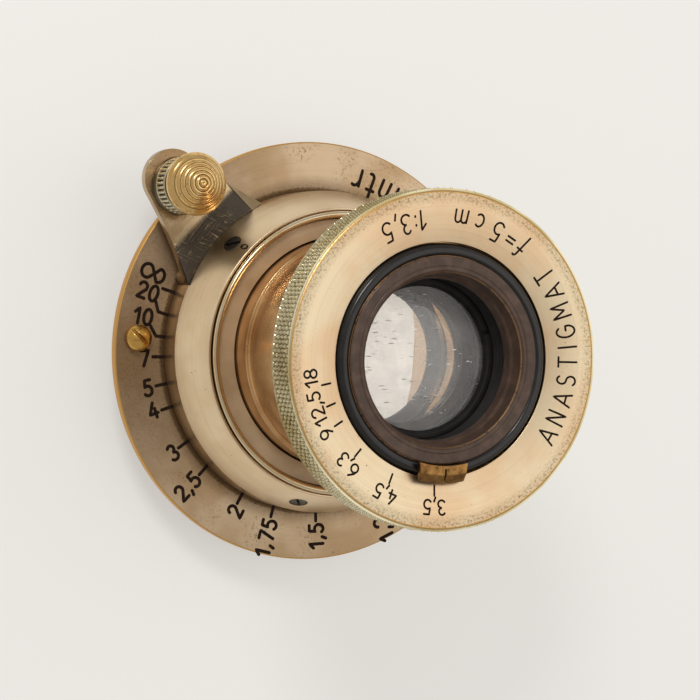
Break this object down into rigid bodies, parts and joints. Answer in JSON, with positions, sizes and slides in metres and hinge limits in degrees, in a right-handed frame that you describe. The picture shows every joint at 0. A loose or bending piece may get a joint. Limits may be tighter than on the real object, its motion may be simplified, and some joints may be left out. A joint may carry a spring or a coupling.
{
  "type": "collapsible camera lens",
  "caption": "Collapsible screw-mount camera lens with a focusing lever and lock, a distance scale flange, a knurled front ring and an adjustable iris.",
  "frame": {"origin": "on the optical axis at the plane of the rear rim, which the lens stands on", "axes": "+Z along the optical axis towards the front glass; the focusing lever at infinity is 134 degrees counter-clockwise from +X, seen from the front"},
  "size_m": [0.0496, 0.0496, 0.041],
  "materials": {
    "flange_nickel": "thin satin nickel over brass, browned and pitted, with a bare gold edge",
    "satin_nickel": "satin nickel plate over brass, yellowed, brass showing at worn edges",
    "tube_nickel": "polished nickel tube, warm brown tarnish",
    "polished_brass": "bare polished brass with dark tarnish in the grooves",
    "turned_brass": "machined brass",
    "black_lacquer": "glossy black lacquer worn to brass on its edges",
    "brown_lacquer": "matt brown-black lacquer",
    "steel": "darkened steel",
    "felt": "dark wool felt",
    "optical_glass": "uncoated optical glass"
  },
  "bodies": {
    "mount": {"mount_flange": "flange_nickel", "flange_screw": "polished_brass", "infinity_catch": "turned_brass", "catch_screw": "steel", "outer_helicoid": "turned_brass"},
    "helicoid": {"inner_helicoid": "turned_brass"},
    "focus_mount": {"focus_ring": "satin_nickel", "ring_screw_1": "steel", "ring_screw_2": "steel", "ring_screw_3": "steel", "lip_ring": "satin_nickel", "guide_ring": "satin_nickel", "felt_band": "felt", "bayonet_ring": "turned_brass", "lever_arm": "satin_nickel", "knob_collar": "satin_nickel", "collar_nut": "steel", "lock_spring": "steel"},
    "lock_button": {"button_cap": "polished_brass", "plunger": "steel"},
    "collapse_slide": {"rear_cell": "brown_lacquer", "doublet_front": "optical_glass", "doublet_back": "optical_glass", "rear_retaining_ring": "black_lacquer"},
    "barrel": {"barrel_tube": "tube_nickel", "bayonet_lug_1": "turned_brass", "bayonet_lug_2": "turned_brass", "bayonet_lug_3": "turned_brass", "head_ring": "satin_nickel", "lens_housing": "brown_lacquer", "iris_cover": "black_lacquer", "front_cell": "black_lacquer", "front_retaining_ring": "black_lacquer", "front_element": "optical_glass", "second_element": "optical_glass", "element_spacer": "black_lacquer"},
    "aperture_control": {"aperture_ring": "black_lacquer", "aperture_tab": "polished_brass", "iris_actuator": "steel", "drive_pin": "steel"},
    "blade_1": {"iris_blade_1": "steel"},
    "blade_2": {"iris_blade_2": "steel"},
    "blade_3": {"iris_blade_3": "steel"},
    "blade_4": {"iris_blade_4": "steel"},
    "blade_5": {"iris_blade_5": "steel"},
    "blade_6": {"iris_blade_6": "steel"}
  },
  "joints": [
    {"name": "focus_travel", "type": "slide", "parent": "mount", "child": "helicoid", "axis": [0, 0, 1], "range_m": [0, 0.00265]},
    {"name": "focus_turn", "type": "hinge", "parent": "helicoid", "child": "focus_mount", "pos_m": [0, 0, 0.01], "axis": [0, 0, 1], "range_deg": [0, 171]},
    {"name": "lock_press", "type": "slide", "parent": "focus_mount", "child": "lock_button", "axis": [0, 0, -1], "range_m": [0, 0.0009], "stiffness_N_per_m": 400, "springref_m": -0.002, "deforming": ["lock_spring"]},
    {"name": "barrel_collapse", "type": "slide", "parent": "focus_mount", "child": "collapse_slide", "axis": [0, 0, -1], "range_m": [0, 0.0204]},
    {"name": "barrel_twist", "type": "hinge", "parent": "collapse_slide", "child": "barrel", "pos_m": [0, 0, 0.02], "axis": [0, 0, 1], "range_deg": [0, 25]},
    {"name": "aperture_turn", "type": "hinge", "parent": "barrel", "child": "aperture_control", "pos_m": [0, 0, 0.036], "axis": [0, 0, 1], "range_deg": [-77, 0]},
    {"name": "blade_1_swing", "type": "hinge", "parent": "barrel", "child": "blade_1", "pos_m": [0.0093, 0, 0.0306], "axis": [0, 0, 1], "range_deg": [-38.5, 0]},
    {"name": "blade_2_swing", "type": "hinge", "parent": "barrel", "child": "blade_2", "pos_m": [0.00465, 0.00805, 0.0306], "axis": [0, 0, 1], "range_deg": [-38.5, 0]},
    {"name": "blade_3_swing", "type": "hinge", "parent": "barrel", "child": "blade_3", "pos_m": [-0.00465, 0.00805, 0.0306], "axis": [0, 0, 1], "range_deg": [-38.5, 0]},
    {"name": "blade_4_swing", "type": "hinge", "parent": "barrel", "child": "blade_4", "pos_m": [-0.0093, 0, 0.0306], "axis": [0, 0, 1], "range_deg": [-38.5, 0]},
    {"name": "blade_5_swing", "type": "hinge", "parent": "barrel", "child": "blade_5", "pos_m": [-0.00465, -0.00805, 0.0306], "axis": [0, 0, 1], "range_deg": [-38.5, 0]},
    {"name": "blade_6_swing", "type": "hinge", "parent": "barrel", "child": "blade_6", "pos_m": [0.00465, -0.00805, 0.0306], "axis": [0, 0, 1], "range_deg": [-38.5, 0]}
  ],
  "couplings": [
    {"joint": "focus_turn", "follows": "focus_travel", "rad_per_m": 1126.2},
    {"joint": "blade_1_swing", "follows": "aperture_turn", "ratio": 0.5},
    {"joint": "blade_2_swing", "follows": "aperture_turn", "ratio": 0.5},
    {"joint": "blade_3_swing", "follows": "aperture_turn", "ratio": 0.5},
    {"joint": "blade_4_swing", "follows": "aperture_turn", "ratio": 0.5},
    {"joint": "blade_5_swing", "follows": "aperture_turn", "ratio": 0.5},
    {"joint": "blade_6_swing", "follows": "aperture_turn", "ratio": 0.5}
  ]
}
